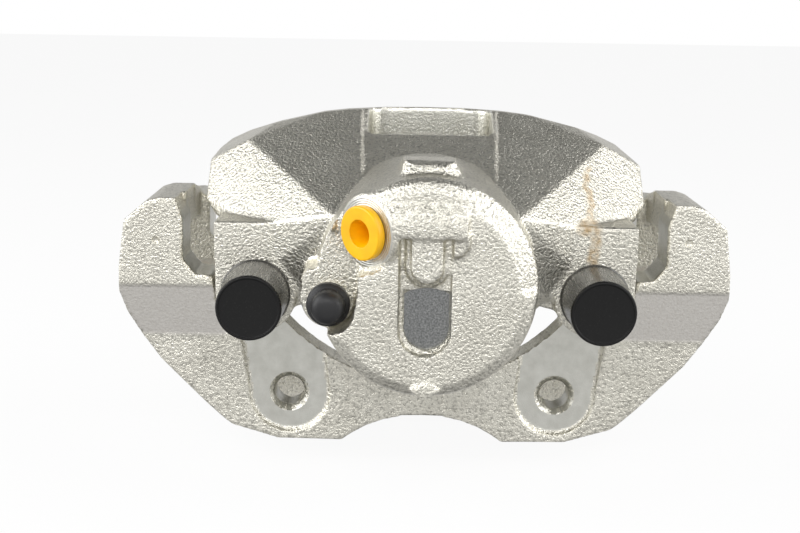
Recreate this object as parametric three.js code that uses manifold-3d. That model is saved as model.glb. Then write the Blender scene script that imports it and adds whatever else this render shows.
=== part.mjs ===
// Sliding brake caliper with its carrier bracket, single piston, front axle of a family car.
// Millimetres. +Z is up, +X is along the carrier and +Y points outboard, towards the wheel.
// The origin is midway between the two knuckle holes, on the milled face that meets the knuckle.
import * as THREE from "three";
import { ConvexGeometry } from "three/addons/geometries/ConvexGeometry.js";
import { mergeVertices } from "three/addons/utils/BufferGeometryUtils.js";
import Module from "manifold-3d";

const wasm = await Module();
wasm.setup();

// ---- driving dimensions ----
const GAP = 0.3; // clearance between neighbouring pieces
const KNUCKLE_X = 47; // knuckle holes, M12, at plus and minus this X and Z = 0
const KNUCKLE_R = 5.2; // minor radius of the M12 thread
const KNUCKLE_CHAMFER_R = 6.8;
const PLATE_FRONT = -1.5; // rough face of the plate, the milled pads lie at Y = 0
const PLATE_BACK = 12;
const ARM_FRONT = -6; // front face of the two pad-guide arms
const ARM_TOP = 69.5;
const SLOT_BACK = 14; // inboard pad slot runs from ARM_FRONT to here
const BEAM_FRONT = 45; // outboard frame of the carrier
const BEAM_BACK = 62;
const PIN_X = 56.3; // guide pins
const PIN_Z = 41;
const PIN_R = 5.5;
const LINER_R = 6.8;
const BUSH_R = 9.4;
const CAP_R = 10.6; // at the closed end, a little more at the ear
const CAP_FRONT = -50;
const EAR_FRONT = -26;
const EAR_BACK = -4;
const BORE_Z = 50; // axis of the piston bore
const PISTON_R = 27;
const BARREL_R = 35.5;
const BARREL_FRONT = -61;
const BARREL_BACK = -7;
const BORE_FLOOR = -43;
const BRIDGE_BACK = 75; // outboard face of the paw
const PAW_FRONT = 58;
const BLEED_X = -30.8;
const BLEED_Z = 43.6;
const BLEED_FRONT = -47;
const PORT_MOUTH = new THREE.Vector3(-19, -56, 67.2); // centre of the hose port's machined face
const PORT_OUT = new THREE.Vector3(-0.7, -0.71, -0.06).normalize(); // direction out of the port
const ROUND = 48; // segments around a large round piece
const SMALL = 28; // segments around a small one

// ---- shapes ----
function solid(geometry) {
  const bare = geometry.index ? geometry.toNonIndexed() : geometry.clone();
  bare.deleteAttribute("normal");
  bare.deleteAttribute("uv");
  const merged = mergeVertices(bare, 1e-4);
  const triVerts = new Uint32Array(merged.index.array);
  const vertProperties = new Float32Array(merged.attributes.position.array);
  const made = new wasm.Manifold(new wasm.Mesh({ numProp: 3, vertProperties, triVerts }));
  if (made.volume() > 0) return made;
  for (let i = 0; i < triVerts.length; i += 3) {
    [triVerts[i + 1], triVerts[i + 2]] = [triVerts[i + 2], triVerts[i + 1]];
  }
  return new wasm.Manifold(new wasm.Mesh({ numProp: 3, vertProperties, triVerts }));
}

function outline(points) {
  return new THREE.Shape(points.map(([a, b]) => new THREE.Vector2(a, b)));
}

// A shape drawn in X and Z, extruded from y0 to y1.
function alongY(shape, y0, y1, curveSegments = 12) {
  const made = new THREE.ExtrudeGeometry(shape, { depth: y1 - y0, bevelEnabled: false, curveSegments });
  return solid(made.rotateX(Math.PI / 2).translate(0, y1, 0));
}

// A shape drawn in Y and Z, extruded from x0 to x1.
function alongX(shape, x0, x1) {
  const made = new THREE.ExtrudeGeometry(shape, { depth: x1 - x0, bevelEnabled: false });
  return solid(made.rotateY(Math.PI / 2).rotateX(Math.PI / 2).translate(x0, 0, 0));
}

function box([x0, y0, z0], [x1, y1, z1]) {
  const made = new THREE.BoxGeometry(x1 - x0, y1 - y0, z1 - z0);
  return solid(made.translate((x0 + x1) / 2, (y0 + y1) / 2, (z0 + z1) / 2));
}

// A round piece about an axis along Y through (x, z); the profile is [radius, y] pairs.
function round(profile, x = 0, z = 0, segments = ROUND) {
  const points = profile.map(([r, y]) => new THREE.Vector2(r, y));
  return solid(new THREE.LatheGeometry(points, segments).translate(x, 0, z));
}

function rod(radius, y0, y1, x = 0, z = 0, segments = ROUND) {
  return round([[0, y0], [radius, y0], [radius, y1], [0, y1]], x, z, segments);
}

function hull(points) {
  return solid(new ConvexGeometry(points.map((p) => new THREE.Vector3(...p))));
}

// The same points on both sides of the plane X = 0.
function bothSides(points) {
  return points.flatMap(([x, y, z]) => [[x, y, z], [-x, y, z]]);
}

// A right-hand half outline, listed upwards from the middle, closed by its mirror image.
function mirrored(half) {
  return outline([...half, ...half.filter(([x]) => x > 0).reverse().map(([x, z]) => [-x, z])]);
}

function join(pieces) {
  return pieces.reduce((whole, piece) => whole.add(piece));
}

function cut(whole, pieces) {
  return pieces.reduce((rest, piece) => rest.subtract(piece), whole);
}

// Turns a round piece drawn about +Y at the origin so that its -Y points out of the hose port.
function atPort(piece) {
  const turn = new THREE.Quaternion().setFromUnitVectors(new THREE.Vector3(0, -1, 0), PORT_OUT);
  const place = new THREE.Matrix4().compose(PORT_MOUTH, turn, new THREE.Vector3(1, 1, 1));
  return piece.transform(place.toArray());
}

// ---- carrier: inboard plate, two bridged arms with pad slots, outboard beam ----
const ARCH_Z = 70; // centre of the arc along the plate's upper edge
const ARCH_R = 65.5;

function archPoint(x) {
  return [x, ARCH_Z - Math.sqrt(ARCH_R ** 2 - x ** 2)];
}

const OUTER_EDGE = [
  [28.5, -17.4], [51, -17], [59, -14.6], [67.3, -12.2], [71.8, -8.6], [78, -2.6], [85, 4.4],
  [92.5, 12], [98.6, 20.3], [103.4, 28.8], [105.9, 36.5],
];
const SLOT_EDGE = [[86, ARM_TOP], [83.4, 62], [83.4, 48], [79.2, 43], [73.5, 42.6]];

function carrierPlate() {
  const underside = [[0, -8.2], [8, -8.4], [14, -9.7], [20, -12], [25.5, -15.2]];
  const arch = [48.5, 44, 38, 32, 24, 16, 8, 0].map(archPoint);
  const plate = mirrored([...underside, ...OUTER_EDGE, [105.9, 41], [73.5, 41], [56, 41], [47.5, 33], ...arch]);
  const bosses = [1, -1].map((s) => rod(11, PLATE_FRONT, PLATE_BACK, s * PIN_X, PIN_Z));
  return join([alongY(plate, PLATE_FRONT, PLATE_BACK), ...bosses]);
}

// One arm: inboard leg with its slot, a bridge over the disc, outboard leg with its slot.
function carrierArm(side) {
  const leg = [[70, 20], [98.6, 20.3], [103.4, 28.8], [105.9, 36.5], [105.7, 46], [103.8, 61.5],
    [96, 68.3], [92, ARM_TOP], ...SLOT_EDGE];
  const profile = [[ARM_FRONT, 72], [ARM_FRONT, 39.5], [PLATE_FRONT, 19.5], [SLOT_BACK, 19.5],
    [SLOT_BACK, 72]];
  const inboard = alongY(outline(leg), ARM_FRONT - 1, SLOT_BACK)
    .intersect(alongX(outline(profile), 60, 120));
  const bridge = alongY(outline([[84, 57], [103, 57], [104.6, 60], [96, 68.3], [92, ARM_TOP],
    [84.5, ARM_TOP]]), SLOT_BACK - 4, 33);
  const slope = hull([[84, 30], [104.4, 30]].flatMap(([x, y]) => [
    [x, y, 57], [x, BEAM_FRONT + 3, 56], [x, BEAM_FRONT + 3, x < 90 ? 66 : 60],
    [x, y, x < 90 ? ARM_TOP : 61]]).concat([[93, 30, ARM_TOP], [93, BEAM_FRONT + 3, 66]]));
  const outboardLeg = [[66, 4], [78, -2.6], [92.5, 12], [99, 20.3], [104, 30], [104.5, 46],
    [102.5, 58], [94, 64], [84, 64.8], [80.5, 62.5], [80.5, 49], [75.5, 44.5], [70, 44], [68, 26]];
  const outboard = alongY(outline(outboardLeg), BEAM_FRONT - 2, BEAM_BACK);
  const arm = join([inboard, bridge, slope, outboard]);
  return side > 0 ? arm : arm.mirror([1, 0, 0]);
}

function carrierBeam() {
  const half = [[0, -20], [20, -21], [34, -24], [48, -24.5], [62, -18], [78, -2.6], [92, 12], [70, 30],
    [66, 12], [58, 1.5], [48, -3], [30, -5.5], [0, -6.5]];
  return alongY(mirrored(half), BEAM_FRONT, BEAM_BACK);
}

// The milled pad around a knuckle hole, run up to the guide pin's seat.
function milledPad(side) {
  const slot = new THREE.Shape();
  slot.absarc(46.8, 0, 14.2, -Math.PI, 0.05, false);
  slot.absarc(52.5, 43, 15, 0.05, Math.PI + 0.12, false);
  const pad = alongY(slot, -12, 0, 16);
  return side > 0 ? pad : pad.mirror([1, 0, 0]);
}

function carrier() {
  const body = join([carrierPlate(), carrierArm(1), carrierArm(-1), carrierBeam()]);
  const step = alongY(outline([[-8.6, -20], [8.6, -20], [8, 10], [-8, 10]]), -5, PLATE_FRONT + 0.8);
  const cuts = [1, -1].flatMap((side) => [
    milledPad(side),
    round([[0, -1], [KNUCKLE_CHAMFER_R + 1, -1], [KNUCKLE_R, 1.6], [KNUCKLE_R, PLATE_BACK + 1],
      [0, PLATE_BACK + 1]], side * KNUCKLE_X, 0, SMALL),
    rod(PIN_R + GAP, -1, PLATE_BACK + 1, side * PIN_X, PIN_Z, SMALL),
  ]);
  return cut(body, [step, ...cuts]);
}

// ---- housing: barrel, ears, bridge over the disc, outboard paw ----
// The bridge: an arched top that falls gently outboard, a sloping roof in front of it that runs
// down to the barrel, and a steeper flank on each side that runs down to the ears.
const CREST_Y = 24;
const CREST = [[0, 99.2], [14, 99], [28, 98.2], [37, 97.1], [54, 92.9], [65, 89.2], [72, 85.8],
  [76.8, 81.8]];
const OUTBOARD_FALL = 4; // how much lower the arched top is at the outboard face

function bridgeBlock() {
  const crest = CREST.filter(([x]) => x <= 62).map(([x, z]) => [x, CREST_Y, z]);
  const rear = CREST.flatMap(([x, z]) => [
    [x * 1.04, BRIDGE_BACK - 4, z - OUTBOARD_FALL + 0.4], [x, BRIDGE_BACK, z - OUTBOARD_FALL - 3]]);
  const ridge = [[62.3, 11.4, 88.2], [30, -38, 69.4], [0, -38, 71.5]];
  const flankFoot = [[76.4, 17, 80.3], [76.4, 4, 68], [69, -5, 65], [51, -25.4, 64.5], [44, -26.5, 63.5],
    [34, -33, 66]];
  const underneath = [[76.8, CREST_Y, 66.6], [76.4, 8, 66.4], [69, -7.5, 60], [50, -24.6, 50],
    [43, -24.6, 40], [30, -24.6, 37], [0, -44, 52], [79.6, BRIDGE_BACK - 4, 67.6], [74, BRIDGE_BACK, 64]];
  return hull(bothSides([...crest, ...rear, ...ridge, ...flankFoot, ...underneath]));
}

// What lies over the disc and pads: an arched space under the bridge, from the barrel to the paw.
const DISC_Z = -73; // axle
const DISC_R = 150;

function discSpace() {
  const arch = new THREE.Shape();
  arch.absarc(0, DISC_Z, DISC_R + 3.5, Math.PI, 0, true);
  return alongY(arch, BARREL_BACK, PAW_FRONT, 96);
}

// A shallow channel down the middle of the roof, with an inspection window at its upper end.
const WINDOW = { x0: -20.5, x1: 23.5, y0: 12, y1: 45 };

function channel() {
  const width = [[-21, -45], [22.5, -45], [25.5, 30], [-23, 30]];
  const plan = new THREE.ExtrudeGeometry(outline(width), { depth: 50, bevelEnabled: false });
  const slab = solid(plan.translate(0, 0, 50));
  const floor = alongX(outline([[-50, 64], [-38, 69], [12, 91], [30, 99], [30, 110], [-50, 110]]),
    -40, 40);
  return slab.intersect(floor);
}

function inspectionWindow() {
  const { x0, x1, y0, y1 } = WINDOW;
  const hole = new THREE.Shape();
  hole.moveTo(x0 + 2, y0);
  hole.lineTo(x1 - 2, y0);
  hole.lineTo(x1, y0 + 2);
  hole.absarc(x1 - 7, y1 - 7, 7, 0, Math.PI / 2, false);
  hole.absarc(x0 + 7, y1 - 7, 7, Math.PI / 2, Math.PI, false);
  hole.lineTo(x0, y0 + 2);
  return solid(new THREE.ExtrudeGeometry(hole, { depth: 50, bevelEnabled: false }).translate(0, 0, 60));
}

function barrel() {
  return round([[0, BARREL_FRONT], [30.5, BARREL_FRONT], [33.6, -59.4], [34.6, -57],
    [BARREL_R, EAR_FRONT - 4], [BARREL_R + 1, BARREL_BACK], [0, BARREL_BACK]], 0, BORE_Z, 64);
}

// Each ear holds a guide bush; its face stands a little proud of the web that joins it to the barrel.
const WEB_FRONT = EAR_FRONT + 1.8;

function ears() {
  const face = new THREE.Shape();
  face.moveTo(44, 36);
  face.absarc(PIN_X, PIN_Z, 13.6, Math.PI * 1.12, Math.PI * 1.96, false);
  face.lineTo(70.2, 64.8);
  face.lineTo(52, 65);
  face.absarc(51, 54, 11, Math.PI / 2, Math.PI * 0.92, false);
  face.lineTo(42.5, 42);
  const web = outline([[20, 40], [38, 37.5], [44, 36], [50, 36], [50, 64.5], [40, 64.5], [20, 60]]);
  const ear = alongY(face, EAR_FRONT, EAR_BACK).add(alongY(web, WEB_FRONT, EAR_BACK));
  return [ear, ear.mirror([1, 0, 0])];
}

// The outboard paw reaches down behind the disc in two fingers, with a gap to machine the bore.
function paw() {
  const outer = mirrored([[0, 52], [20, 28], [24, 18.5], [44, 17], [54, 26], [66, 46], [75, 66],
    [75, 70], [0, 84]]);
  return alongY(outer, PAW_FRONT, BRIDGE_BACK, 8);
}

// The hump over the barrel where the hose port's drilling ends: a rounded bar across the face with
// a flat underside, and a peak on top of it.
function crown() {
  const bar = [0, 18, 36, 54, 72, 90].flatMap((degrees) => {
    const t = THREE.MathUtils.degToRad(degrees);
    const [y, z] = [-54 - 9.5 * Math.cos(t), 70.5 + 9.3 * Math.sin(t)];
    return [[-11, y, z], [11.4 + 2 * Math.sin(t), y, z]];
  });
  const behind = [[-11, -63.5, 66.6], [11.6, -63.5, 66.6], [13.4, -60, 66.6], [13.6, -60, 71],
    [-14, -30, 80], [16.5, -30, 79], [-14, -30, 60], [16.5, -30, 60], [-12, -56, 62], [13.6, -56, 62]];
  const peak = [[-9.2, -51.5, 79.8], [7.2, -51.5, 79.6], [-4.8, -48.2, 87.4], [5.4, -48.2, 87.2],
    [-7.6, -45, 88.6], [8.4, -45, 88.3], [13.4, -48, 78.8], [-8.2, -26, 87.6], [9, -26, 87.4],
    [-12, -20, 76], [15.5, -20, 76], [-10.8, -46, 79]];
  const shoulder = [[7.8, -62.6, 68], [13, -62.6, 68], [7.8, -62.6, 60.6], [10.6, -62.6, 61.4],
    [12.6, -62.6, 64], [7.8, -56, 59.6], [11.4, -56, 60.4], [13.6, -56, 63.4], [13.6, -56, 68]];
  return join([hull([...bar, ...behind]), hull(shoulder), hull(peak)]);
}

function portBoss() {
  return atPort(round([[0, 0], [11.4, 0], [12.2, 0.8], [12.6, 26], [0, 26]], 0, 0));
}

const NOTCH_R = 8.4; // around the bleed screw's cap

// The barrel's face is cut back around the bleed boss and spot-faced around the hose port, and its
// rim is bevelled over the upper right quarter.
function faceCuts() {
  const bevel = round([[28, -61.1], [28, -70], [40, -70], [40, -56.4], [34.9, -56.4], [28, -61.1]], 0, BORE_Z)
    .intersect(box([14.2, -72, 49.4], [60, -50, 110]));
  const notch = new THREE.Shape();
  notch.moveTo(-60, 66);
  notch.lineTo(-21.6, 66);
  notch.lineTo(-21.6, BLEED_Z + 4);
  notch.lineTo(BLEED_X + NOTCH_R, BLEED_Z);
  notch.absarc(BLEED_X, BLEED_Z, NOTCH_R, 0, -Math.PI / 2, true);
  notch.lineTo(-60, BLEED_Z - NOTCH_R);
  return [bevel, alongY(notch, -80, BLEED_FRONT), atPort(rod(12.8, -40, 0, 0, 0))];
}

function bleedBoss() {
  const block = new THREE.Shape();
  block.moveTo(-20, 54);
  block.lineTo(-38, 53.6);
  block.lineTo(-39.8, 51);
  block.lineTo(-40, 42);
  block.absarc(BLEED_X, BLEED_Z, 9, Math.PI, Math.PI * 1.6, false);
  block.lineTo(-20, 34);
  return alongY(block, BLEED_FRONT, -12);
}

// Relief on the barrel's face: a sunk channel, a milled pocket in it and a raised tongue above.
function pocketShape(x0, x1, top, bottom) {
  const r = (x1 - x0) / 2;
  const shape = new THREE.Shape();
  shape.moveTo(x1, top);
  shape.lineTo(x0, top);
  shape.absarc((x0 + x1) / 2, bottom + r, r, Math.PI, 0, false);
  return shape;
}

function housing() {
  const nib = hull([[-5, -61.8, 18.6], [4.6, -61.8, 18.4], [1.5, -61.8, 16], [-2, -61.8, 16],
    [-5, -52, 17.5], [4.6, -52, 17.5], [0, -52, 15.4], [0, -61.8, 20.5]]);
  const tongue = alongY(pocketShape(-6.8, 6.6, 68, 50.8), -60.6, -55)
    .add(alongY(pocketShape(-5, 4.8, 68, 52.4), -62.8, -55));
  const solidBody = join([bridgeBlock().subtract(discSpace()).subtract(channel()), barrel(),
    ...ears(), paw(), crown(), portBoss(), bleedBoss(), nib]);
  const relief = [alongY(pocketShape(-8.8, 7.6, 66.5, 29), -70, -58.2),
    alongY(pocketShape(-7.2, 7.2, 49.6, 30.6), -70, -56.6)];
  const bore = round([[0, BORE_FLOOR], [PISTON_R - 2, BORE_FLOOR], [PISTON_R + GAP, BORE_FLOOR + 2],
    [PISTON_R + GAP, -18.5], [PISTON_R + 3, -18.5], [PISTON_R + 3, -15], [PISTON_R + GAP, -15],
    [PISTON_R + GAP, -11], [PISTON_R + 4, -11], [PISTON_R + 4, 20], [0, 20]], 0, BORE_Z, 64);
  const bushHoles = [1, -1].map((s) => rod(BUSH_R + GAP, EAR_FRONT - 1, EAR_BACK + 8, s * PIN_X, PIN_Z));
  const bleedHole = round([[0, BLEED_FRONT - 1], [3.6, BLEED_FRONT - 1], [3.6, -29.5], [0, -26]],
    BLEED_X, BLEED_Z, SMALL);
  const portHole = atPort(round([[0, -1], [4.9, -1], [4.9, 12.5], [1.6, 14], [1.6, 26], [0, 26]], 0, 0, SMALL));
  const fingerGap = rod(23.5, 50, 80, 0, 44);
  const filled = cut(solidBody, [...relief, ...faceCuts(), fingerGap]).add(tongue);
  return cut(filled, [bore, inspectionWindow(), ...bushHoles, bleedHole, portHole]);
}

// ---- round pieces ----
function piston() {
  return round([[0, -42], [PISTON_R - 2, -42], [PISTON_R, -40], [PISTON_R, -10.4],
    [PISTON_R - 1.4, -10.4], [PISTON_R - 1.4, -7.6], [PISTON_R, -7.6], [PISTON_R, -5.6],
    [PISTON_R - 0.6, -5], [PISTON_R - 6, -5], [PISTON_R - 7, -34], [0, -35]], 0, BORE_Z, 64);
}

function pistonSeal() {
  return round([[PISTON_R + GAP, -18.2], [PISTON_R + 2.7, -18.2], [PISTON_R + 2.7, -15.3],
    [PISTON_R + GAP, -15.3], [PISTON_R + GAP, -18.2]], 0, BORE_Z, 64);
}

function dustBoot() {
  return round([[PISTON_R - 1.1, -10.1], [PISTON_R + 3.7, -10.7], [PISTON_R + 3.7, -7.9],
    [PISTON_R + 2.4, -8.6], [PISTON_R + 1.4, -7.4], [PISTON_R + 0.3, -8.6], [PISTON_R - 1.1, -7.9],
    [PISTON_R - 1.1, -10.1]], 0, BORE_Z, 64);
}

// Guide pin: a smooth rod with a hexagon socket in its free end, screwed into the carrier.
function guidePin(x) {
  const pin = rod(PIN_R, -44, PLATE_BACK + 1.5, x, PIN_Z, SMALL);
  return pin.subtract(rod(3.6, -45, -36, x, PIN_Z, 6));
}

function tube(inner, outer, y0, y1, x) {
  return round([[inner, y0], [outer, y0], [outer, y1], [inner, y1], [inner, y0]], x, PIN_Z, SMALL);
}

// Rubber bush: clamped in the ear, with a collar in front that the cap snaps over.
function guideBush(x) {
  const inner = LINER_R + GAP;
  return round([[inner, -44], [BUSH_R, -44], [BUSH_R, EAR_BACK], [BUSH_R + 1.6, EAR_BACK + 0.4],
    [BUSH_R, EAR_BACK + 2.4], [inner, EAR_BACK + 2.4], [inner, -44]], x, PIN_Z, SMALL);
}

function bushCap(x) {
  const edge = EAR_FRONT - GAP;
  return round([[0, CAP_FRONT], [CAP_R - 0.9, CAP_FRONT], [CAP_R, CAP_FRONT + 0.9],
    [CAP_R + 0.5, edge - 1.6], [CAP_R + 1, edge - 1.2], [CAP_R + 1, edge], [BUSH_R + GAP, edge],
    [BUSH_R + GAP, CAP_FRONT + 3], [0, CAP_FRONT + 3]], x, PIN_Z, ROUND);
}

function bleedScrew() {
  const head = BLEED_FRONT - GAP;
  const shank = round([[0, -28], [1.2, -28.5], [3.3, -31.5], [3.3, head], [0, head]],
    BLEED_X, BLEED_Z, SMALL);
  const hexagon = rod(6.2, head - 4, head, BLEED_X, BLEED_Z, 6);
  const nipple = round([[0, head - 3], [2.6, head - 3], [2.6, head - 8], [3.2, head - 9],
    [2.4, head - 11], [0, head - 11]], BLEED_X, BLEED_Z, SMALL);
  return join([shank, hexagon, nipple]);
}

function bleedCap() {
  const rim = BLEED_FRONT - GAP - 4 - GAP;
  return round([[0, rim - 11], [3.6, rim - 10.4], [5, rim - 8.6], [5.4, rim - 6], [5.4, rim - 4],
    [6.9, rim - 3.4], [6.9, rim], [3.6, rim], [3.6, rim - 8], [0, rim - 8]],
    BLEED_X, BLEED_Z, SMALL);
}

function portPlug() {
  return atPort(round([[4.3, -3.2], [8.2, -3.2], [8.6, -2.8], [8.6, -0.3], [4.5, -0.3], [4.5, 12],
    [2.4, 12], [2.4, 4], [4.3, -3.2]], 0, 0, ROUND));
}

// ---- materials and the scene graph ----
function finish(color, roughness, metalness) {
  return new THREE.MeshStandardMaterial({ color, roughness, metalness });
}

const castZinc = finish(0xc9c6bb, 0.45, 0.9);
const plated = finish(0xb8b4a4, 0.3, 1);
const chromed = finish(0xd6d8da, 0.12, 1);
const rubber = finish(0x1c1c1e, 0.75, 0);
const liner = finish(0xd9d4c4, 0.5, 0);
const blackPlastic = finish(0x141416, 0.4, 0);
const yellowPlastic = finish(0xf6b400, 0.45, 0);

const caliper = new THREE.Group();

function add(name, made, material) {
  const { vertProperties, triVerts } = made.getMesh();
  const geometry = new THREE.BufferGeometry();
  geometry.setAttribute("position", new THREE.BufferAttribute(new Float32Array(vertProperties), 3));
  geometry.setIndex(new THREE.BufferAttribute(new Uint32Array(triVerts), 1));
  geometry.computeVertexNormals();
  const mesh = new THREE.Mesh(geometry, material);
  mesh.name = name;
  caliper.add(mesh);
}

add("carrier", carrier(), castZinc);
add("housing", housing(), castZinc);
add("piston", piston(), chromed);
add("piston_seal", pistonSeal(), rubber);
add("dust_boot", dustBoot(), rubber);
for (const [side, x] of [["left", -PIN_X], ["right", PIN_X]]) {
  add("guide_pin_" + side, guidePin(x), plated);
  add("bush_liner_" + side, tube(PIN_R + GAP, LINER_R, -43.5, EAR_BACK, x), liner);
  add("guide_bush_" + side, guideBush(x), rubber);
  add("bush_cap_" + side, bushCap(x), blackPlastic);
}
add("bleed_screw", bleedScrew(), plated);
add("bleed_cap", bleedCap(), rubber);
add("hose_port_plug", portPlug(), yellowPlastic);

export default caliper;
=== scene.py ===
# Looks of a sliding brake caliper on its carrier bracket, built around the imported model.
import math

import bmesh
import bpy
import numpy as np
from mathutils import Matrix, Vector


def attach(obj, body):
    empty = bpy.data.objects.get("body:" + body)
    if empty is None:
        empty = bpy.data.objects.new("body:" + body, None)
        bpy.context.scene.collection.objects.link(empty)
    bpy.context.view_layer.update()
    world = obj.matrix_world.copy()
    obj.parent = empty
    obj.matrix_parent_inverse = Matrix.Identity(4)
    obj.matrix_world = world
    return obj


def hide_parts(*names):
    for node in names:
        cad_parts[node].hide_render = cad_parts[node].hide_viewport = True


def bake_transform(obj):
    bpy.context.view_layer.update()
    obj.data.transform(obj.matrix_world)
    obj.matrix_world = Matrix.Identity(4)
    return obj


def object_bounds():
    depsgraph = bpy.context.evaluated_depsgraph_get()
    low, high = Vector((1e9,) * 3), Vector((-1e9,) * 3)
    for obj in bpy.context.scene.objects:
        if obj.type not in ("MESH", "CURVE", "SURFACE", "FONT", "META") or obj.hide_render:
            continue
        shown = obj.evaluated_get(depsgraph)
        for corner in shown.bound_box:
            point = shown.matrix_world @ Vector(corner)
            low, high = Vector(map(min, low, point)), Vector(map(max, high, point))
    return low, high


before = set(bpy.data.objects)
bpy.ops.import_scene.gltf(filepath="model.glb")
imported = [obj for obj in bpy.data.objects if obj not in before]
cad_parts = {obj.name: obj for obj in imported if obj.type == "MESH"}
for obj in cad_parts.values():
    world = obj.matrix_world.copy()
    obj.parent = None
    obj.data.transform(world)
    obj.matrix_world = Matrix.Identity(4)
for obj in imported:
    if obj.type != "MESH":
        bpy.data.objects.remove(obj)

cad_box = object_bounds()
MM = 0.001
SCENE = bpy.context.scene
VOXEL = 0.7  # mm, the fineness at which the castings are softened
CAST_SHARP, TURNED_SHARP = 42, 38  # degrees above which an edge is drawn sharp

# ---- measures in millimetres, the same as the CAD model's ----
BORE_Z = 50
PIN_X, PIN_Z = 56.3, 41
PIN_SEAT_R = 5.8
KNUCKLE_X, KNUCKLE_R = 47, 5.2
CAP_FRONT, EAR_FRONT, EAR_BACK = -50, -26, -4
PLATE_BACK = 12
PISTON_R = 27
BUSH_R = 9.7  # bore of the housing's ears
POCKET_Y = -56.45  # floor of the milled pocket in the barrel's face
POCKET_R, POCKET_Z = 7.05, 37.6
PLUG_BORE_R = 4.75
BLEED = Vector((-30.8, -47, 43.6))
PORT_MOUTH = Vector((-19, -56, 67.2))
PORT_OUT = Vector((-0.7, -0.71, -0.06)).normalized()
DIMPLES = ((-92.7, 54.7), (90.8, 56.5))
STAIN_X, STAIN_Z = 54.9, 64.4  # the tan run of stain above the right guide cap
CAMERA_PLACE = Vector((-8.5, -497, 142.3))


# ---- camera, floor and lights ----
def make_camera():
    pitch, roll = math.radians(11.0), math.radians(0.93)
    look = Vector((0, math.cos(pitch), -math.sin(pitch)))
    level, rise = Vector((1, 0, 0)), Vector((0, math.sin(pitch), math.cos(pitch)))
    right = math.cos(roll) * level + math.sin(roll) * rise
    up = -math.sin(roll) * level + math.cos(roll) * rise
    data = bpy.data.cameras.new("camera")
    data.sensor_width = 36
    data.lens = 65.25
    data.clip_start, data.clip_end = 0.01, 50
    camera = bpy.data.objects.new("camera", data)
    turn = Matrix((right, up, -look)).transposed().to_4x4()
    camera.matrix_world = Matrix.Translation(CAMERA_PLACE * MM) @ turn
    SCENE.collection.objects.link(camera)
    SCENE.camera = camera


def softbox(name, place, size, watts, target=(0, 0, 0.04)):
    data = bpy.data.lights.new(name, "AREA")
    data.shape = "RECTANGLE"
    data.size, data.size_y = size
    data.energy = watts
    light = bpy.data.objects.new(name, data)
    light.location = place
    light.rotation_mode = "QUATERNION"
    light.rotation_quaternion = (Vector(target) - Vector(place)).to_track_quat("-Z", "Y")
    SCENE.collection.objects.link(light)


class Nodes:
    """A short way to write a node tree."""

    def __init__(self, tree):
        self.tree = tree
        tree.nodes.clear()

    def add(self, kind, inputs=None, **settings):
        node = self.tree.nodes.new(kind)
        for key, value in settings.items():
            setattr(node, key, value)
        for key, value in (inputs or {}).items():
            if isinstance(value, bpy.types.NodeSocket):
                self.tree.links.new(value, node.inputs[key])
            else:
                node.inputs[key].default_value = value
        return node

    def ramp(self, value, stops):
        node = self.add("ShaderNodeValToRGB", {"Fac": value})
        while len(node.color_ramp.elements) < len(stops):
            node.color_ramp.elements.new(0.5)
        for element, (place, colour) in zip(node.color_ramp.elements, stops):
            element.position = place
            element.color = colour if len(colour) == 4 else (*colour, 1)
        return node.outputs["Color"]

    def math(self, operation, a, b=0.0):
        return self.add("ShaderNodeMath", {0: a, 1: b}, operation=operation).outputs[0]

    def mix(self, factor, a, b, blend="MIX"):
        node = self.add("ShaderNodeMix", data_type="RGBA", blend_type=blend)
        for key, value in ((0, factor), (6, a), (7, b)):
            if isinstance(value, bpy.types.NodeSocket):
                self.tree.links.new(value, node.inputs[key])
            else:
                node.inputs[key].default_value = value
        return node.outputs[2]


def grey(level):
    return (level, level, level)


def make_world():
    """A pale room, brightest round the horizon, with a dark screen overhead that the bridge's roof
    mirrors. The screen is lighter in the middle."""
    world = bpy.data.worlds.new("studio")
    world.use_nodes = True
    SCENE.world = world
    n = Nodes(world.node_tree)
    way = n.add("ShaderNodeTexCoord").outputs["Generated"]
    up = n.add("ShaderNodeSeparateXYZ", {0: way}).outputs["Z"]
    height = n.math("MULTIPLY_ADD", up, 0.5)
    height.node.inputs[2].default_value = 0.5
    light = n.ramp(height, [(0.0, grey(0.3)), (0.44, grey(0.62)), (0.58, grey(0.7)),
                            (0.7, grey(0.5)), (0.88, grey(0.22))])
    middle = (0.0, 0.3, 0.954)
    to_middle = n.add("ShaderNodeVectorMath", {0: way, 1: middle}, operation="DOT_PRODUCT")
    screen = n.ramp(to_middle.outputs["Value"], [(0.8, grey(0)), (0.92, grey(1))])
    across = n.math("ABSOLUTE", n.add("ShaderNodeSeparateXYZ", {0: way}).outputs["X"])
    gap = n.ramp(across, [(0.12, grey(0.45)), (0.27, grey(1))])
    screen = n.mix(1.0, screen, gap, "MULTIPLY")
    light = n.mix(screen, light, (0.06, 0.064, 0.062, 1))
    seen = n.add("ShaderNodeBackground", {"Color": (1, 1, 1, 1), "Strength": 1.0})
    lit = n.add("ShaderNodeBackground", {"Color": light, "Strength": 1.0})
    straight = n.add("ShaderNodeLightPath").outputs["Is Camera Ray"]
    both = n.add("ShaderNodeMixShader", {0: straight, 1: lit.outputs[0], 2: seen.outputs[0]})
    n.add("ShaderNodeOutputWorld", {"Surface": both.outputs[0]})


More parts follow.
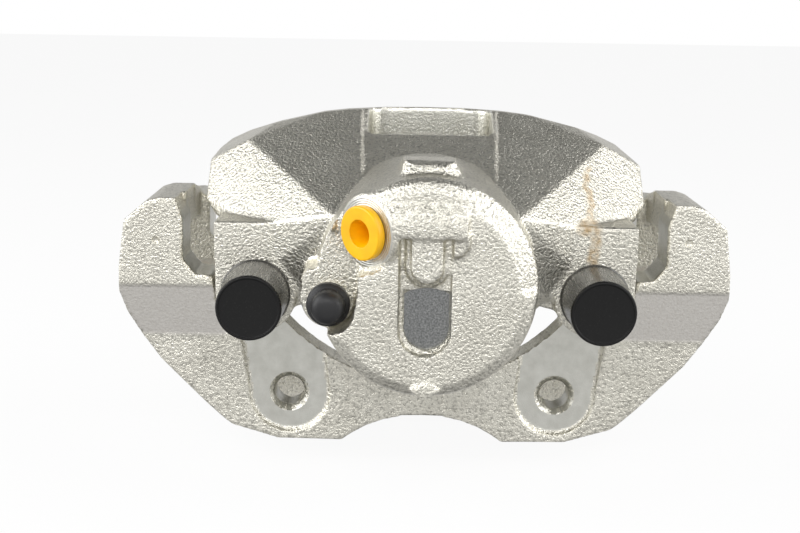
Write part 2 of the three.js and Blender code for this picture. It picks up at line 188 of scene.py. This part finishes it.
def make_floor():
    """A white floor. What the metal mirrors of it is brightest at a flat angle."""
    half = 4.0
    low = cad_box[0].z - 0.0002
    mesh = bpy.data.meshes.new("floor")
    corners = [(-half, -half, low), (half, -half, low), (half, half, low), (-half, half, low)]
    mesh.from_pydata(corners, [], [(0, 1, 2, 3)])
    floor = bpy.data.objects.new("floor", mesh)
    SCENE.collection.objects.link(floor)
    material = bpy.data.materials.new("pale_floor")
    material.use_nodes = True
    n = Nodes(material.node_tree)
    matt = n.add("ShaderNodeBsdfDiffuse", {"Color": (0.85, 0.85, 0.85, 1)})
    glow = n.add("ShaderNodeEmission", {"Color": (1, 1, 1, 1), "Strength": 1.0})
    seen = n.add("ShaderNodeMixShader", {0: 0.92, 1: matt.outputs[0], 2: glow.outputs[0]})
    flat_angle = n.add("ShaderNodeLayerWeight", {"Blend": 0.5}).outputs["Facing"]
    shine = n.ramp(flat_angle, [(0.02, grey(0.2)), (0.25, grey(0.5)), (0.84, grey(0.72))])
    dim = n.add("ShaderNodeEmission", {"Color": shine, "Strength": 1.0})
    straight = n.add("ShaderNodeLightPath").outputs["Is Camera Ray"]
    both = n.add("ShaderNodeMixShader", {0: straight, 1: dim.outputs[0], 2: seen.outputs[0]})
    n.add("ShaderNodeOutputMaterial", {"Surface": both.outputs[0]})
    mesh.materials.append(material)


# ---- mesh tools ----
def keep(obj, name, material, body, *nodes, slot=None):
    """Finishes a piece: its material, the body it rides on and the CAD nodes it stands for."""
    obj.name = obj.data.name = name
    if material is not None:
        obj.data.materials.clear()
        obj.data.materials.append(material)
    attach(obj, body)
    if nodes:
        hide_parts(*nodes)
    return obj


def new_object(name, mesh):
    obj = bpy.data.objects.new(name, mesh)
    SCENE.collection.objects.link(obj)
    return obj


def smooth_shading(mesh, sharp_degrees):
    mesh.shade_smooth()
    mesh.set_sharp_from_angle(angle=math.radians(sharp_degrees))


def filleted(points, steps=5):
    """Profile points are (r, y) or (r, y, how far the fillet reaches from the corner), in mm."""
    out = []
    for i, point in enumerate(points):
        here = Vector(point[:2])
        if len(point) == 2:
            out.append(here)
            continue
        start = here + (Vector(points[i - 1][:2]) - here).normalized() * point[2]
        end = here + (Vector(points[(i + 1) % len(points)][:2]) - here).normalized() * point[2]
        for k in range(steps + 1):
            t = k / steps
            out.append((1 - t) ** 2 * start + 2 * t * (1 - t) * here + t ** 2 * end)
    return out


def lathe(name, profile, place=Matrix.Identity(4), segments=96):
    """A closed body of revolution about the Y axis; a profile that doesn't meet the axis is a tube."""
    points = filleted(profile)
    bm = bmesh.new()
    rings = []
    for r, y in points:
        if r < 1e-6:
            rings.append([bm.verts.new((0, y * MM, 0))] * segments)
            continue
        rings.append([bm.verts.new((r * math.cos(a) * MM, y * MM, r * math.sin(a) * MM))
                      for a in (math.tau * k / segments for k in range(segments))])
    pairs = list(zip(rings, rings[1:]))
    if points[0][0] > 1e-6:
        pairs.append((rings[-1], rings[0]))
    for one, two in pairs:
        for k in range(segments):
            j = (k + 1) % segments
            corners = []
            for v in (one[k], one[j], two[j], two[k]):
                if v not in corners:
                    corners.append(v)
            if len(corners) > 2:
                bm.faces.new(corners)
    bmesh.ops.recalc_face_normals(bm, faces=bm.faces)
    mesh = bpy.data.meshes.new(name)
    bm.to_mesh(mesh)
    bm.free()
    mesh.transform(place)
    smooth_shading(mesh, TURNED_SHARP)
    return new_object(name, mesh)


def prism(name, outline, y0, y1):
    """A cutter: an outline of (x, z) points in mm, from y0 to y1."""
    bm = bmesh.new()
    near = [bm.verts.new((x * MM, y0 * MM, z * MM)) for x, z in outline]
    far = [bm.verts.new((x * MM, y1 * MM, z * MM)) for x, z in outline]
    bm.faces.new(near)
    bm.faces.new(far)
    for k in range(len(outline)):
        j = (k + 1) % len(outline)
        bm.faces.new((near[k], near[j], far[j], far[k]))
    bmesh.ops.recalc_face_normals(bm, faces=bm.faces)
    mesh = bpy.data.meshes.new(name)
    bm.to_mesh(mesh)
    bm.free()
    return new_object(name, mesh)


def arc(cx, cz, r, start, end, steps):
    """Points (x, z) round a centre, from one angle to another in degrees."""
    angles = [math.radians(start + (end - start) * k / steps) for k in range(steps + 1)]
    return [(cx + r * math.cos(a), cz + r * math.sin(a)) for a in angles]


def at(x, z):
    """The place of a turned piece whose axis runs along Y."""
    return Matrix.Translation((x * MM, 0, z * MM))


def at_port():
    """The hose port's mouth, with -Y turned to point out of it."""
    turn = Vector((0, -1, 0)).rotation_difference(PORT_OUT).to_matrix().to_4x4()
    return Matrix.Translation(PORT_MOUTH * MM) @ turn


def apply_modifiers(obj):
    graph = bpy.context.evaluated_depsgraph_get()
    made = bpy.data.meshes.new_from_object(obj.evaluated_get(graph))
    obj.modifiers.clear()
    obj.data = made


def read_table(rows, field, width, kind=np.float32):
    """One field of a mesh's vertices, faces or corners, as an array."""
    flat = np.empty(len(rows) * width, kind)
    rows.foreach_get(field, flat)
    return flat.reshape(-1, width) if width > 1 else flat


def vertex_places(mesh):
    return read_table(mesh.vertices, "co", 3) * 1000


def casting(node, softness, cutters):
    """A CAD casting with its edges rounded as a foundry leaves them, then the machined cuts made
    sharp. softness(place) is 0 where the shape is kept and 1 where it is rounded in full."""
    obj = new_object(node + "_cast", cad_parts[node].data.copy())
    remesh = obj.modifiers.new("remesh", "REMESH")
    remesh.mode = "VOXEL"
    remesh.voxel_size = VOXEL * MM
    apply_modifiers(obj)
    group = obj.vertex_groups.new(name="soft")
    weight = softness(vertex_places(obj.data))
    for level in np.unique(weight):
        group.add(np.flatnonzero(weight == level).tolist(), float(level), "REPLACE")
    soften = obj.modifiers.new("soften", "SMOOTH")
    soften.factor = 0.5
    soften.iterations = 3
    soften.vertex_group = "soft"
    apply_modifiers(obj)
    for cutter in cutters:
        cut = obj.modifiers.new("cut", "BOOLEAN")
        cut.operation = "DIFFERENCE"
        cut.solver = "MANIFOLD"
        cut.object = cutter
        apply_modifiers(obj)
        bpy.data.objects.remove(cutter)
    smooth_shading(obj.data, CAST_SHARP)
    return obj


def step(value, low, high):
    """0 below low, 1 above high, and smooth between them."""
    t = np.clip((value - low) / (high - low), 0, 1)
    return t * t * (3 - 2 * t)


class Corners:
    """The face corners of a mesh, in mm, with their face's own centre and normal."""

    def __init__(self, mesh):
        index = read_table(mesh.loops, "vertex_index", 1, np.int32)
        count = read_table(mesh.polygons, "loop_total", 1, np.int32)
        centre = read_table(mesh.polygons, "center", 3) * 1000
        normal = read_table(mesh.polygons, "normal", 3)
        self.mesh = mesh
        self.x, self.y, self.z = vertex_places(mesh)[index].T
        self.centre = np.repeat(centre, count, axis=0).T
        self.normal = np.repeat(normal, count, axis=0).T

    def paint(self, milled, dark, skin, stain):
        """Stores where the casting is milled, milled and painted dark as painted shade, smooth or
        stained, for the material.
        """
        layer = self.mesh.color_attributes.new("finish_and_painted_shade", "FLOAT_COLOR", "CORNER")
        channels = [np.broadcast_to(c, self.x.shape) for c in (milled, dark, skin, stain)]
        layer.data.foreach_set("color", np.stack(channels, 1).astype(np.float32).ravel())


# ---- materials ----
def surface(name, build):
    """A material with a Principled shader; build(n, place) returns its inputs, place is in mm."""
    material = bpy.data.materials.new(name)
    material.use_nodes = True
    n = Nodes(material.node_tree)
    where = n.add("ShaderNodeTexCoord").outputs["Object"]
    place = n.add("ShaderNodeVectorMath", {0: where, "Scale": 1000.0}, operation="SCALE").outputs[0]
    shader = n.add("ShaderNodeBsdfPrincipled", build(n, place))
    n.add("ShaderNodeOutputMaterial", {"Surface": shader.outputs[0]})
    return material


def noise(n, place, size, detail=2.0, rough=0.5):
    return n.add("ShaderNodeTexNoise", {"Vector": place, "Scale": 1 / size, "Detail": detail,
                                        "Roughness": rough}).outputs["Fac"]


def bump(n, height, strength, distance_mm, base=None):
    inputs = {"Height": height, "Strength": strength, "Distance": distance_mm * MM}
    if base is not None:
        inputs["Normal"] = base
    return n.add("ShaderNodeBump", inputs).outputs[0]


def spread(n, value, low, high):
    """Maps 0..1 to low..high."""
    return n.add("ShaderNodeMapRange", {0: value, 3: low, 4: high}).outputs[0]


def tones(n, fac, dark, light):
    """A colour that goes from dark to light; each is (where in 0..1, colour)."""
    return n.ramp(fac, [dark, light])


def cast_zinc(n, place):
    """Zinc-plated cast iron. A corner colour attribute says where it is milled, milled and painted
    dark as painted shade, smooth as cast, or stained."""
    finish_and_painted_shade = n.add("ShaderNodeAttribute", attribute_name="finish_and_painted_shade")
    parts = n.add("ShaderNodeSeparateColor", {0: finish_and_painted_shade.outputs["Color"]}).outputs
    milled, dark, skin, stain = parts[0], parts[1], parts[2], finish_and_painted_shade.outputs["Alpha"]
    speck = noise(n, place, 0.42, 2, 0.7)
    grain = noise(n, place, 1.0, 2.5, 0.62)

    colour = tones(n, noise(n, place, 16, 3), (0.3, (0.745, 0.72, 0.635)), (0.7, (0.86, 0.835, 0.745)))
    pits = tones(n, grain, (0.33, grey(0.62)), (0.5, grey(1.0)))
    colour = n.mix(1.0, colour, pits, "MULTIPLY")
    skin_noise = noise(n, place, 0.8, 2, 0.6)
    skin_tone = tones(n, skin_noise, (0.3, (0.76, 0.725, 0.675)), (0.6, (0.86, 0.83, 0.78)))
    colour = n.mix(skin, colour, skin_tone)
    mill_noise = noise(n, place, 5, 4, 0.6)
    mill_tone = tones(n, mill_noise, (0.3, (0.62, 0.615, 0.56)), (0.7, (0.76, 0.755, 0.70)))
    colour = n.mix(milled, colour, mill_tone)
    # painted shade: the pocket's floor is coloured dark to stand in for the darkness it mirrors
    painted_shade_noise = noise(n, place, 0.6, 2, 0.7)
    painted_shade_tone = tones(n, painted_shade_noise, (0.35, (0.17, 0.175, 0.175)), (0.7, (0.42, 0.425, 0.42)))
    colour = n.mix(dark, colour, painted_shade_tone)
    blotch = tones(n, noise(n, place, 2.2, 3, 0.6), (0.35, grey(0.25)), (0.6, grey(1.0)))
    colour = n.mix(n.math("MULTIPLY", stain, blotch), colour, (0.46, 0.29, 0.10, 1))

    flat = n.math("MAXIMUM", n.math("MAXIMUM", milled, dark), n.math("MULTIPLY", skin, 0.75))
    height = n.math("MULTIPLY", grain, n.math("SUBTRACT", 1.0, flat))
    coarse = bump(n, height, 0.95, 0.62)
    fine = bump(n, speck, 0.5, 0.15, coarse)
    gloss = n.math("ADD", spread(n, speck, 0.22, 0.42), n.math("MULTIPLY", stain, 0.3))
    return {"Base Color": colour, "Metallic": spread(n, stain, 1.0, 0.45), "Roughness": gloss,
            "Normal": fine}


def turned(n, place):
    """Concentric tool marks on the hose port's face."""
    centre = tuple(PORT_MOUTH)
    away = n.add("ShaderNodeVectorMath", {0: place, 1: centre}, operation="DISTANCE").outputs["Value"]
    marks = n.math("SINE", n.math("MULTIPLY", away, 9.0))
    colour = tones(n, noise(n, place, 1.4, 3), (0.3, (0.62, 0.61, 0.56)), (0.7, (0.78, 0.77, 0.72)))
    gloss = spread(n, noise(n, place, 0.8), 0.22, 0.4)
    return {"Base Color": colour, "Metallic": 1.0, "Roughness": gloss,
            "Normal": bump(n, marks, 0.35, 0.12)}


def plain(colour, dark, size, metallic, gloss, strength=0.2, depth=0.08):
    """A material that is even but for its fine grain and a slow change of tone."""
    def build(n, place):
        tone = tones(n, noise(n, place, 9, 3), (0.35, dark), (0.65, colour))
        grain = noise(n, place, size, 2, 0.6)
        return {"Base Color": tone, "Metallic": metallic, "Roughness": spread(n, grain, *gloss),
                "Normal": bump(n, grain, strength, depth)}
    return build


def black_cap(n, place):
    """Satin black plastic with dust and a few brown specks."""
    dust = tones(n, noise(n, place, 0.33, 2, 0.7), (0.62, grey(0)), (0.78, grey(1)))
    colour = n.mix(dust, (0.005, 0.005, 0.005, 1), (0.035, 0.035, 0.033, 1))
    specks = tones(n, noise(n, place, 1.3, 1, 0.4), (0.80, grey(0)), (0.84, grey(1)))
    colour = n.mix(specks, colour, (0.30, 0.16, 0.06, 1))
    return {"Base Color": colour, "Roughness": spread(n, noise(n, place, 0.4), 0.38, 0.56),
            "Specular IOR Level": 0.3, "Normal": bump(n, noise(n, place, 0.4, 2, 0.7), 0.3, 0.06)}


def skirt_with_painted_sheen(n, place):
    """The same plastic, polished, with faint draw marks along the cap, and its black painted lighter
    than the cap's front as a painted sheen.
    """
    along = (1.0, 0.04, 1.0)
    drawn = n.add("ShaderNodeVectorMath", {0: place, 1: along}, operation="MULTIPLY").outputs[0]
    marks = noise(n, drawn, 0.5, 2, 0.6)
    # painted sheen: a lighter grey than the cap's front, standing in for the side's reflections
    tone = tones(n, noise(n, place, 5, 3), (0.35, (0.03, 0.029, 0.026)), (0.7, (0.06, 0.058, 0.052)))
    return {"Base Color": tone, "Roughness": spread(n, marks, 0.2, 0.36), "Specular IOR Level": 0.75,
            "Normal": bump(n, marks, 0.25, 0.06)}


def make_materials():
    steel = plain((0.66, 0.63, 0.55), (0.5, 0.48, 0.42), 0.5, 1.0, (0.2, 0.36))
    chrome = plain((0.8, 0.81, 0.82), (0.7, 0.71, 0.72), 0.3, 1.0, (0.06, 0.14), 0.05)
    rubber = plain((0.018, 0.018, 0.019), (0.011, 0.011, 0.012), 0.4, 0.0, (0.4, 0.58))
    liner = plain((0.66, 0.63, 0.53), (0.58, 0.55, 0.46), 0.6, 0.0, (0.35, 0.5))
    yellow = plain((0.98, 0.56, 0.0), (0.93, 0.46, 0.0), 0.35, 0.0, (0.3, 0.46), 0.12)
    return {
        "cast": surface("cast_zinc", cast_zinc),
        "turned": surface("turned_face", turned),
        "steel": surface("plated_steel", steel),
        "chrome": surface("chromed_steel", chrome),
        "rubber": surface("rubber", rubber),
        "liner": surface("liner_plastic", liner),
        "cap": surface("black_plastic", black_cap),
        "skirt": surface("black_plastic_gloss_painted_sheen", skirt_with_painted_sheen),
        "yellow": surface("yellow_plastic", yellow),
    }


# ---- the two castings ----
def thread_profile(first, last, r, pitch=1.75, depth=0.5):
    """A tapped hole's wall, as rings one pitch apart."""
    points = []
    y = first
    while y < last:
        points += [(r, y), (r + depth, y + pitch / 2)]
        y += pitch
    return points + [(r, last)]


def make_carrier():
    cutters = []
    for side in (-1, 1):
        wall = thread_profile(2.4, PLATE_BACK - 0.6, KNUCKLE_R, depth=0.3)
        hole = [(0, -3), (KNUCKLE_R + 4.9, -3), (KNUCKLE_R + 1.9, 0), (KNUCKLE_R, 1.9), *wall,
                (KNUCKLE_R, PLATE_BACK + 3), (0, PLATE_BACK + 3)]
        cutters.append(lathe("hole", hole, at(side * KNUCKLE_X, 0)))
        seat = [(0, -3), (PIN_SEAT_R, -3), (PIN_SEAT_R, PLATE_BACK + 3), (0, PLATE_BACK + 3)]
        cutters.append(lathe("seat", seat, at(side * PIN_X, PIN_Z)))
    dimple = [(0, -9), (1.5, -9), (1.5, -6.1), (0.9, -5.5), (0, -5.3)]
    for x, z in DIMPLES:
        cutters.append(lathe("dimple", dimple, at(x, z), 24))

    def softness(place):
        weight = np.ones(len(place), np.float32)
        for side in (-1, 1):
            for x, z, r in ((side * KNUCKLE_X, 0, 9.0), (side * PIN_X, PIN_Z, 8.0)):
                weight[np.hypot(place[:, 0] - x, place[:, 2] - z) < r] = 0
        on_pads = (np.abs(place[:, 1]) < 0.45) & (place[:, 2] < 40)
        weight[on_pads] *= 0.15
        return weight

    obj = casting("carrier", softness, cutters)
    c = Corners(obj.data)
    x, y, z = c.centre
    pad = (np.abs(y) < 0.3) & (c.normal[1] < -0.97) & (z < 58)
    slot = ((np.abs(x) < 84.4) & (np.abs(x) > 72) & (z > 42) & ((y < 13.4) | (y > 44))
            & (np.abs(c.normal[1]) < 0.3))
    bored = np.hypot(np.abs(x) - KNUCKLE_X, z) < 6.2
    milled = np.maximum(pad, np.maximum(slot, bored) * 0.9)
    band = step(c.z, 20, 21.5) * step(-c.z, -39.5, -38)  # smooth across each arm
    skin = band * step(np.abs(c.x), 68, 70) * (c.normal[1] < -0.9)
    c.paint(milled, 0, skin, 0)
    return keep(obj, "carrier_casting", MATERIALS["cast"], "carrier", "carrier", slot="cast_zinc")


def stain_amount(c):
    """The tan run above the right guide cap: a wavy run, a pool on the ear's ledge and a tail."""
    wobble = 0.7 * np.sin(c.z * 0.55) + 0.4 * np.sin(c.z * 1.7 + 1)
    off_run = np.abs(c.x - STAIN_X - wobble)
    run = step(-off_run, -1.9, -0.6) * step(c.z, 64, 67) * step(-c.z, -84, -80) * 0.6
    off_pool = np.hypot((c.x - STAIN_X + 1.3) / 1.6, c.z - STAIN_Z)
    pool = step(-off_pool, -3.6, -1.2)
    off_tail = np.abs(c.x - STAIN_X - 0.7 - 0.5 * wobble)
    tail = step(-off_tail, -2.6, -0.9) * step(-c.z, -66, -63) * step(c.z, 50, 54)
    return np.maximum(run, np.maximum(pool, tail) * 0.75) * (c.y < 4) * (c.x > 40)


def make_housing():
    wall = thread_profile(1.6, 11.5, PLUG_BORE_R, 1.0, 0.35)
    port = [(0, -3), (6.2, -3), (6.2, 0), (5.0, 1.2), *wall, (PLUG_BORE_R, 12.5), (1.6, 14), (1.6, 26),
            (0, 26)]
    r = PISTON_R + 0.3
    bore = [(0, -43), (PISTON_R - 2, -43), (r, -41), (r, -18.5), (PISTON_R + 3, -18.5),
            (PISTON_R + 3, -15), (r, -15), (r, -11), (PISTON_R + 4, -11), (PISTON_R + 4, 20), (0, 20)]
    pocket = [(POCKET_R, 48.3), *arc(0, 38.0, 12.5, 55, 125, 10), (-POCKET_R, 48.3),
              *arc(0, POCKET_Z, POCKET_R, 180, 360, 20)]
    bleed = [(0, -50), (3.6, -50), (3.6, -29.5), (0, -26)]
    cutters = [
        lathe("port", port, at_port()),
        lathe("bore", bore, at(0, BORE_Z), 128),
        prism("pocket", pocket, -66, POCKET_Y),
        lathe("bleed", bleed, at(BLEED.x, BLEED.z), 48),
    ]
    bush = [(0, -30), (BUSH_R, -30), (BUSH_R, 4), (0, 4)]
    for side in (-1, 1):
        cutters.append(lathe("bush", bush, at(side * PIN_X, PIN_Z), 64))

    def softness(place):
        weight = np.ones(len(place), np.float32)
        x, y, z = place.T
        in_bore = (np.hypot(x, z - BORE_Z) < 32) & (y > -45) & (y < -5)
        weight[in_bore] = 0
        for side in (-1, 1):
            weight[(np.hypot(x - side * PIN_X, z - PIN_Z) < 11) & (y > -30) & (y < 2)] = 0
        weight[(np.abs(x) < 21) & (y < -42) & (z > 60)] = 0.4  # the bar and the peak
        weight[(np.abs(x) < 9) & (y < -55) & (z > 29) & (z < 64)] = 0.3  # the pocket and the tongue
        weight[(np.abs(x + 30) < 11) & (y < -40) & (z < 58)] = 0.5  # the bleed screw's boss
        off = place - np.array(PORT_MOUTH)
        along = off @ np.array(PORT_OUT)
        radial = np.linalg.norm(off - along[:, None] * np.array(PORT_OUT), axis=1)
        weight[(radial < 9.5) & (along > -3)] = 0
        return weight

    obj = casting("housing", softness, cutters)
    c = Corners(obj.data)
    x, y, z = c.centre
    # the milled pocket's floor, which is painted dark as painted shade
    dark = ((np.abs(y - POCKET_Y) < 0.12) & (np.abs(x) < 7.2) & (z > 30) & (z < 51)
            & (c.normal[1] < -0.9))
    in_bore = (np.hypot(x, z - BORE_Z) < 31.5) & (y > -43.5) & (y < -6.8)
    barrel_end = (np.abs(y + 7) < 0.3) & (c.normal[1] > 0.9)
    paw_face = (np.abs(y - 58) < 0.3) & (c.normal[1] < -0.9)
    in_window = ((np.abs(x - 1.5) < 23.5) & (y > 11) & (y < 46) & (z > 78)
                 & (np.abs(c.normal[2]) < 0.55))
    milled = np.maximum((in_bore | barrel_end | paw_face) & ~dark, in_window * 0.7)
    c.paint(milled, dark, 0, stain_amount(c))
    return keep(obj, "housing_casting", MATERIALS["cast"], "housing", "housing", slot="cast_zinc")


# ---- round pieces ----
def make_caps(side, name):
    r, edge, front = 10.6, EAR_FRONT - 0.3, CAP_FRONT
    cup = [(0, front + 0.35), (r - 1.15, front + 0.35, 0.2), (r - 0.95, front, 0.15),
           (r - 0.35, front, 0.3), (r, front + 1.0, 0.4), (r + 0.5, edge - 1.8, 0.3),
           (r + 1.0, edge - 1.3, 0.3), (r + 1.0, edge, 0.2), (BUSH_R, edge), (BUSH_R, front + 3),
           (0, front + 3)]
    cap = lathe("cap", cup, at(side * PIN_X, PIN_Z), 128)
    node = "bush_cap_" + name
    keep(cap, node + "_moulding", MATERIALS["cap"], node, node, slot="black_plastic")
    cap.data.materials.append(MATERIALS["skirt"])
    for face in cap.data.polygons:
        face.material_index = 1 if face.center.y * 1000 > front + 0.7 else 0


def make_bush(side, name):
    inner, outer, end = 7.1, 9.4, EAR_BACK + 2.4
    place = at(side * PIN_X, PIN_Z)
    sleeve = [(inner, -44, 0.2), (outer, -44, 0.5)]
    for y in range(-24, -6, 3):
        sleeve += [(outer, y, 0.2), (outer - 0.3, y + 0.9, 0.3), (outer, y + 1.8, 0.2)]
    sleeve += [(outer, EAR_BACK), (11.0, EAR_BACK + 0.4, 0.2), (outer, end, 0.4), (inner, end, 0.2)]
    bush = lathe("bush", sleeve, place)
    node = "guide_bush_" + name
    keep(bush, node + "_rubber", MATERIALS["rubber"], "housing", node, slot="rubber")
    tube = [(5.8, -43.5, 0.2), (6.8, -43.5, 0.2), (6.8, EAR_BACK, 0.2), (5.8, EAR_BACK, 0.2)]
    liner = lathe("liner", tube, place)
    node = "bush_liner_" + name
    keep(liner, node + "_sleeve", MATERIALS["liner"], "housing", node, slot="liner_plastic")


def make_pin(side, name):
    place = at(side * PIN_X, PIN_Z)
    body = [(0, -36), (2.4, -36.6), (3.1, -43.3), (3.9, -44, 0.15), (5.2, -44, 0.4), (5.5, -43.2, 0.2),
            (5.5, 1, 0.3), (4.9, 1.4)]
    y = 2.0
    while y < 13:
        body += [(4.9, y), (5.35, y + 0.6)]
        y += 1.2
    body += [(4.7, 13.3, 0.3), (0, 13.5)]
    pin = lathe("pin", body, place)
    socket = lathe("socket", [(0, -45), (3.6, -45), (3.6, -37), (0, -35.5)], place, 6)
    cut = pin.modifiers.new("socket", "BOOLEAN")
    cut.operation, cut.solver, cut.object = "DIFFERENCE", "MANIFOLD", socket
    apply_modifiers(pin)
    bpy.data.objects.remove(socket)
    smooth_shading(pin.data, TURNED_SHARP)
    node = "guide_pin_" + name
    keep(pin, node + "_turned", MATERIALS["steel"], "carrier", node, slot="plated_steel")


def make_piston():
    r = PISTON_R
    cup = [(0, -42), (r - 2, -42, 0.8), (r, -40, 0.8), (r, -10.4, 0.2), (r - 1.4, -10.4, 0.3),
           (r - 1.4, -7.6, 0.3), (r, -7.6, 0.2), (r, -5.6, 0.2), (r - 0.6, -5, 0.2), (r - 6, -5, 0.8),
           (r - 7, -34, 2.5), (0, -35)]
    piston = lathe("piston", cup, at(0, BORE_Z), 160)
    keep(piston, "piston_cup", MATERIALS["chrome"], "piston", "piston", slot="chromed_steel")
    ring = [(r + 0.3, -18.2, 0.3), (r + 2.7, -18.2, 0.3), (r + 2.7, -15.3, 0.3), (r + 0.3, -15.3, 0.3)]
    seal = lathe("seal", ring, at(0, BORE_Z), 160)
    keep(seal, "piston_seal_ring", MATERIALS["rubber"], "housing", "piston_seal", slot="rubber")


def make_dust_boot():
    r = PISTON_R
    profile = [(r - 1.1, -10.0, 0.2), (r + 3.7, -10.7, 0.3), (r + 3.7, -8.0, 0.4), (r + 2.4, -8.7, 0.5),
               (r + 1.4, -7.5, 0.5), (r + 0.3, -8.6, 0.5), (r - 1.1, -8.0, 0.4)]
    boot = lathe("boot", profile, at(0, BORE_Z), 160)
    boot.name = boot.data.name = "dust_boot_bellows"
    boot.data.materials.append(MATERIALS["rubber"])
    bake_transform(boot)
    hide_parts("dust_boot")


def make_bleeder():
    head = BLEED.y - 0.3
    place = at(BLEED.x, BLEED.z)
    nipple = [(0, -28), (1.2, -28.5, 0.2), (3.3, -31.5)]
    y = -32.0
    while y > head + 1:
        nipple += [(3.3, y), (2.95, y - 0.5)]
        y -= 1.0
    nipple += [(3.3, head), (5.6, head), (5.6, head - 3.4, 0.4), (4.6, head - 4, 0.3),
               (2.6, head - 4, 0.2), (2.6, head - 8, 0.4), (3.2, head - 9, 0.5), (2.4, head - 11, 0.3),
               (1.0, head - 11, 0.2), (1.0, head - 6), (0, head - 6)]
    screw = lathe("screw", nipple, place, 72)
    keep(screw, "bleed_screw_turned", MATERIALS["steel"], "bleed_screw", "bleed_screw",
         slot="plated_steel")
    rim = head - 4.3
    cup = [(0, rim - 10.6), (3.4, rim - 10.2, 1.2), (5.0, rim - 8.6, 1.2), (5.45, rim - 6, 0.8),
           (5.4, rim - 4.2, 0.4), (6.2, rim - 3.7, 0.4), (6.9, rim - 3.0, 0.4), (6.9, rim, 0.5),
           (3.6, rim, 0.2), (3.6, rim - 8), (0, rim - 8)]
    cap = lathe("bleed", cup, place)
    keep(cap, "bleed_cap_rubber", MATERIALS["rubber"], "bleed_cap", "bleed_cap", slot="rubber")


def make_port():
    ring = [(6.3, -0.12), (11.2, -0.12, 0.3), (11.5, 0.6, 0.3), (11.5, 2.0), (6.3, 2.0)]
    face = lathe("ring", ring, at_port(), 128)
    keep(face, "hose_port_face", MATERIALS["turned"], "housing", slot="cast_zinc")
    profile = [(4.3, -3.2, 0.3), (8.2, -3.2, 0.3), (8.6, -2.8, 0.3), (8.6, -0.4, 0.3), (4.5, -0.4),
               (4.5, 12, 0.2), (2.4, 12, 0.2), (2.4, 4), (4.3, -2.6, 0.3)]
    plug = lathe("plug", profile, at_port(), 128)
    keep(plug, "hose_port_plug_moulding", MATERIALS["yellow"], "hose_port_plug", "hose_port_plug",
         slot="yellow_plastic")


SCENE.view_settings.view_transform = "Standard"
make_camera()
make_world()
make_floor()
softbox("left", (-0.9, -0.15, 0.55), (0.7, 0.9), 8)
softbox("right", (0.9, -0.15, 0.55), (0.7, 0.9), 7.5)
softbox("front", (-0.15, -1.2, 0.75), (1.2, 0.45), 8)
MATERIALS = make_materials()
make_carrier()
make_housing()
for side, name in ((-1, "left"), (1, "right")):
    make_caps(side, name)
    make_bush(side, name)
    make_pin(side, name)
make_piston()
make_dust_boot()
make_bleeder()
make_port()
